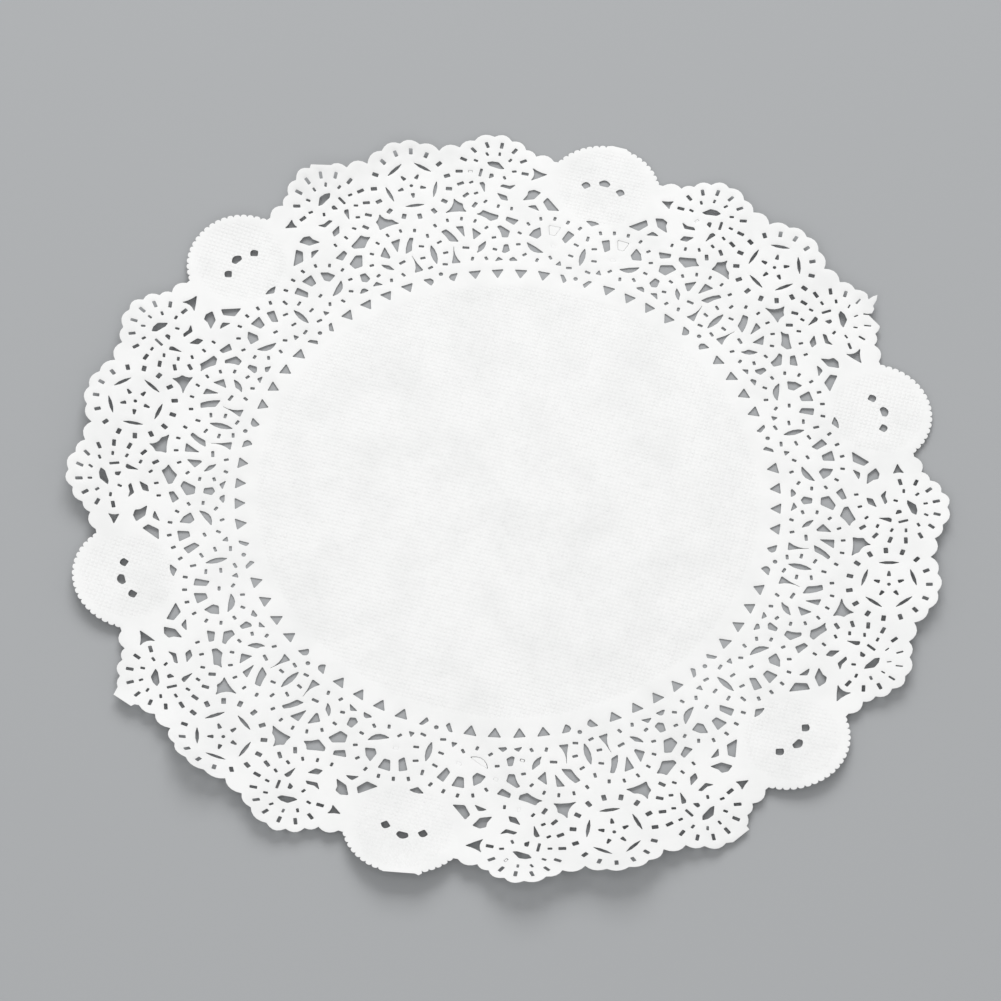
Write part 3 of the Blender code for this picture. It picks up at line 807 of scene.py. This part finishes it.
def paper_material(finish):
    """White uncoated paper with fine fibres, faint patches and the pressed linen grain."""
    material = bpy.data.materials.get("pressed_white_paper")
    if material:
        return material
    material = bpy.data.materials.new("pressed_white_paper")
    material.use_nodes = True
    tree = material.node_tree
    shader = tree.nodes["Principled BSDF"]
    shader.inputs["Metallic"].default_value = 0.0
    shader.inputs["Specular IOR Level"].default_value = PAPER_SPECULAR
    place = add_node(tree, "ShaderNodeTexCoord", "place").outputs["Object"]
    patches = noise(tree, "patches", place, PATCH_NOISE)
    fibres = noise(tree, "fibres", place, FIBRE_NOISE)
    flock = noise(tree, "flock", place, FLOCK_NOISE)
    patch_share = add_node(tree, "ShaderNodeMapRange", "patch share",
                           (("Value", patches.outputs["Fac"]), ("From Min", PATCH_RANGE[0]),
                            ("From Max", PATCH_RANGE[1]), ("To Min", 0.0), ("To Max", PATCH_STRENGTH)))
    colour = add_node(tree, "ShaderNodeMix", "paper and patches",
                      (("Factor", patch_share.outputs["Result"]),), data_type="RGBA")
    colour_in = [socket for socket in colour.inputs if socket.type == "RGBA"]
    colour_in[0].default_value = (*finish.paper, 1.0)
    colour_in[1].default_value = (*finish.shade, 1.0)
    colour_out = [socket for socket in colour.outputs if socket.type == "RGBA"][0]
    tree.links.new(colour_out, shader.inputs["Base Color"])
    rough = add_node(tree, "ShaderNodeMapRange", "roughness",
                     (("Value", flock.outputs["Fac"]), ("From Min", FLOCK_RANGE[0]),
                      ("From Max", FLOCK_RANGE[1]), ("To Min", finish.roughness - ROUGHNESS_SPREAD),
                      ("To Max", finish.roughness + ROUGHNESS_SPREAD)))
    tree.links.new(rough.outputs["Result"], shader.inputs["Roughness"])

    axes = add_node(tree, "ShaderNodeSeparateXYZ", "axes", (("Vector", place),))
    warp = thread_wave(tree, axes.outputs["X"], finish.thread_pitch, "warp")
    weft = thread_wave(tree, axes.outputs["Y"], finish.thread_pitch, "weft")
    threads = add_node(tree, "ShaderNodeMath", "threads", ((0, warp), (1, weft)), operation="MULTIPLY")
    uneven = add_node(tree, "ShaderNodeMath", "uneven threads",
                      ((0, threads.outputs[0]), (1, flock.outputs["Fac"])), operation="MULTIPLY")
    pressed = add_node(tree, "ShaderNodeAttribute", "where the grain is", attribute_name="linen_grain")
    grain = add_node(tree, "ShaderNodeMath", "pressed grain",
                     ((0, uneven.outputs[0]), (1, pressed.outputs["Fac"])), operation="MULTIPLY")
    linen = add_node(tree, "ShaderNodeBump", "linen",
                     (("Strength", 1.0), ("Distance", finish.thread_height / FLOCK_MEAN),
                      ("Height", grain.outputs[0])))
    waves = add_node(tree, "ShaderNodeBump", "waves",
                     (("Strength", WAVE_STRENGTH), ("Distance", WAVE_HEIGHT * MM),
                      ("Height", patches.outputs["Fac"]), ("Normal", linen.outputs["Normal"])))
    nap = add_node(tree, "ShaderNodeBump", "nap",
                   (("Strength", NAP_STRENGTH), ("Distance", NAP_HEIGHT * MM),
                    ("Height", fibres.outputs["Fac"]), ("Normal", waves.outputs["Normal"])))
    tree.links.new(nap.outputs["Normal"], shader.inputs["Normal"])
    return material


def floor_material(colour):
    """Plain pale floor."""
    material = bpy.data.materials.new("pale_floor")
    material.use_nodes = True
    tree = material.node_tree
    shader = tree.nodes["Principled BSDF"]
    shader.inputs["Roughness"].default_value = FLOOR_ROUGHNESS
    shader.inputs["Specular IOR Level"].default_value = FLOOR_SPECULAR
    shader.inputs["Base Color"].default_value = (*colour, 1.0)
    return material


def finished_piece(mesh, name, material):
    """A new object in the scene with its mesh and material."""
    piece = bpy.data.objects.new(name, mesh)
    bpy.context.scene.collection.objects.link(piece)
    mesh.materials.append(material)
    return piece


class OBJECT_OT_doily_waste(Operator):
    """Make the bits of waste that were left in their gaps"""
    bl_idname = "object.doily_waste"
    bl_label = "Waste left in"

    def execute(self, context):
        sizes = context.scene.doily_sheet
        bits = [(gap, waste) for repeat in range(REPEATS) for gap, waste in repeat_gaps(repeat) if waste]
        if not bits:
            raise RuntimeError("no gap holds waste")
        places, faces = [], []
        for gap, waste in bits:
            centre = np.mean(gap, axis=0)
            loop = [tuple(centre + (np.array(point) - centre) * waste.share) for point in gap]
            x, y = np.array(loop).T
            base = np.maximum(curl(x, y) + sizes.lace_lift / MM - waste.drop, WASTE_CLEARANCE)
            top = base + sizes.thickness / MM + WASTE_SWELL
            start, count = len(places), len(loop)
            places += [(a * MM, b * MM, c * MM) for a, b, c in zip(x, y, base)]
            places += [(a * MM, b * MM, c * MM) for a, b, c in zip(x, y, top)]
            faces.append(tuple(start + count + index for index in range(count)))
            faces.append(tuple(start + index for index in reversed(range(count))))
            faces += [(start + index, start + (index + 1) % count, start + count + (index + 1) % count,
                       start + count + index) for index in range(count)]
        mesh = bpy.data.meshes.new("waste_left_in")
        mesh.from_pydata(places, [], faces)
        piece = finished_piece(mesh, "waste_left_in", paper_material(context.scene.doily_finish))
        smoothed(piece, WASTE_SHADE_ANGLE)
        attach(piece, "root")
        return {"FINISHED"}


class OBJECT_OT_doily_sheet(Operator):
    """Make the pressed and punched sheet"""
    bl_idname = "object.doily_sheet"
    bl_label = "Pressed sheet"

    def execute(self, context):
        sizes = context.scene.doily_sheet
        found = [pair for repeat in range(REPEATS) for pair in repeat_gaps(repeat)]
        outline = anticlockwise(rim())
        gaps = [gap for gap, waste in found]
        loops = [outline] + gaps
        tree = edge_tree(loops)
        clear = [place for place in grid_points(GRID_PITCH, GRID_START, GRID_END)
                 if tree.find((*place, 0.0))[2] > GRID_CLEARANCE]
        bevels = bevel_points([outline[::-1]] + gaps, tree)
        middle = grid_points(MIDDLE_PITCH, 0.0, GRID_START - MIDDLE_MARGIN)
        under = [place for place in grid_points(UNDER_PITCH, GRID_START, GRID_END)
                 if tree.find((*place, 0.0))[2] > UNDER_CLEARANCE]

        def top_height(x, y):
            away = np.array([tree.find((a, b, 0.0))[2] for a, b in zip(x, y)])
            share = np.clip(away * MM / sizes.cushion_width, 0.0, 1.0)
            cushion = sizes.cushion / MM * (1.0 - (1.0 - share) ** 2)
            pressed = 1.0 - GRAIN_PRESS * eased(grain_share(x, y))
            line = np.clip(1.0 - np.abs(np.hypot(x, y) - RING_LINE_RADIUS) / RING_LINE_WIDTH, 0.0, 1.0)
            return (under_height(x, y) + sizes.thickness / MM + cushion * pressed
                    + RING_LINE_RISE * eased(line))

        def under_height(x, y):
            return curl(x, y) + sizes.lace_lift / MM * (1.0 - eased(grain_share(x, y)))

        mesh = sheet_mesh("pressed_sheet", loops, clear + bevels + middle, under + middle,
                          top_height, under_height)
        if not mesh.polygons:
            raise RuntimeError("the sheet has no faces")
        sheet = finished_piece(mesh, "pressed_sheet", paper_material(context.scene.doily_finish))
        drop_loose(sheet)
        smoothed(sheet, SHEET_SHADE_ANGLE)
        grain_attribute(mesh)
        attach(sheet, "root")
        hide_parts(NODE)
        return {"FINISHED"}


class OBJECT_OT_doily_stage(Operator):
    """Make the floor, the lights and the camera"""
    bl_idname = "object.doily_stage"
    bl_label = "Stage"

    def execute(self, context):
        stage = context.scene.doily_stage
        bpy.ops.object.select_all(action="DESELECT")
        bpy.ops.mesh.primitive_plane_add(size=FLOOR_SIZE, location=(0.0, 0.0, -FLOOR_DROP * MM))
        floor = context.active_object
        floor.name = "floor"
        bpy.ops.object.transform_apply(location=True, rotation=True, scale=True)
        floor.data.materials.append(floor_material(stage.floor))

        self.add_light("key_light", KEY_LIGHT_PLACE, KEY_LIGHT_SIZE, stage.key_power)
        self.add_light("fill_light", FILL_LIGHT_PLACE, FILL_LIGHT_SIZE, stage.fill_power)

        world = bpy.data.worlds.new("even_sky")
        world.use_nodes = True
        background = world.node_tree.nodes["Background"]
        background.inputs["Color"].default_value = (1.0, 1.0, 1.0, 1.0)
        background.inputs["Strength"].default_value = stage.sky
        context.scene.world = world
        context.scene.view_settings.view_transform = "Standard"

        camera_data = bpy.data.cameras.new("camera")
        camera_data.lens = CAMERA_LENS
        camera_data.sensor_width = CAMERA_SENSOR
        camera_data.sensor_fit = "HORIZONTAL"
        camera_data.clip_start = CAMERA_CLIP_START
        camera = bpy.data.objects.new("camera", camera_data)
        context.scene.collection.objects.link(camera)
        place, aim = Vector(CAMERA_PLACE), Vector(CAMERA_AIM)
        facing = (aim - place).to_track_quat("-Z", "Y").to_matrix().to_4x4()
        camera.matrix_world = Matrix.Translation(place) @ facing @ Matrix.Rotation(CAMERA_ROLL, 4, "Z")
        context.scene.camera = camera
        return {"FINISHED"}

    def add_light(self, name, place, size, power):
        """A square soft light that faces the doily's middle."""
        data = bpy.data.lights.new(name, "AREA")
        data.shape = "SQUARE"
        data.size = size
        data.energy = power
        light = bpy.data.objects.new(name, data)
        bpy.context.scene.collection.objects.link(light)
        light.location = place
        light.rotation_euler = (-Vector(place)).to_track_quat("-Z", "Y").to_euler()


class VIEW3D_PT_doily(Panel):
    """Lists the doily's sizes, its finish and its operators."""
    bl_idname = "VIEW3D_PT_doily"
    bl_label = "Lace paper doily"
    bl_space_type = "VIEW_3D"
    bl_region_type = "UI"
    bl_category = "Doily"

    def draw(self, context):
        for group in (context.scene.doily_sheet, context.scene.doily_finish, context.scene.doily_stage):
            box = self.layout.box()
            for name in group.__annotations__:
                box.prop(group, name)
        for operator in OPERATORS:
            self.layout.operator(operator.bl_idname)


OPERATORS = (OBJECT_OT_doily_waste, OBJECT_OT_doily_sheet, OBJECT_OT_doily_stage)
CLASSES = (DoilySheetSizes, DoilyFinish, DoilyStage) + OPERATORS + (VIEW3D_PT_doily,)


def register():
    for item in CLASSES:
        bpy.utils.register_class(item)
    bpy.types.Scene.doily_sheet = PointerProperty(type=DoilySheetSizes)
    bpy.types.Scene.doily_finish = PointerProperty(type=DoilyFinish)
    bpy.types.Scene.doily_stage = PointerProperty(type=DoilyStage)


def unregister():
    del bpy.types.Scene.doily_stage
    del bpy.types.Scene.doily_finish
    del bpy.types.Scene.doily_sheet
    for item in reversed(CLASSES):
        bpy.utils.unregister_class(item)


def main():
    register()
    bpy.ops.object.doily_waste()
    bpy.ops.object.doily_sheet()
    bpy.ops.object.doily_stage()


if __name__ == "__main__":
    main()
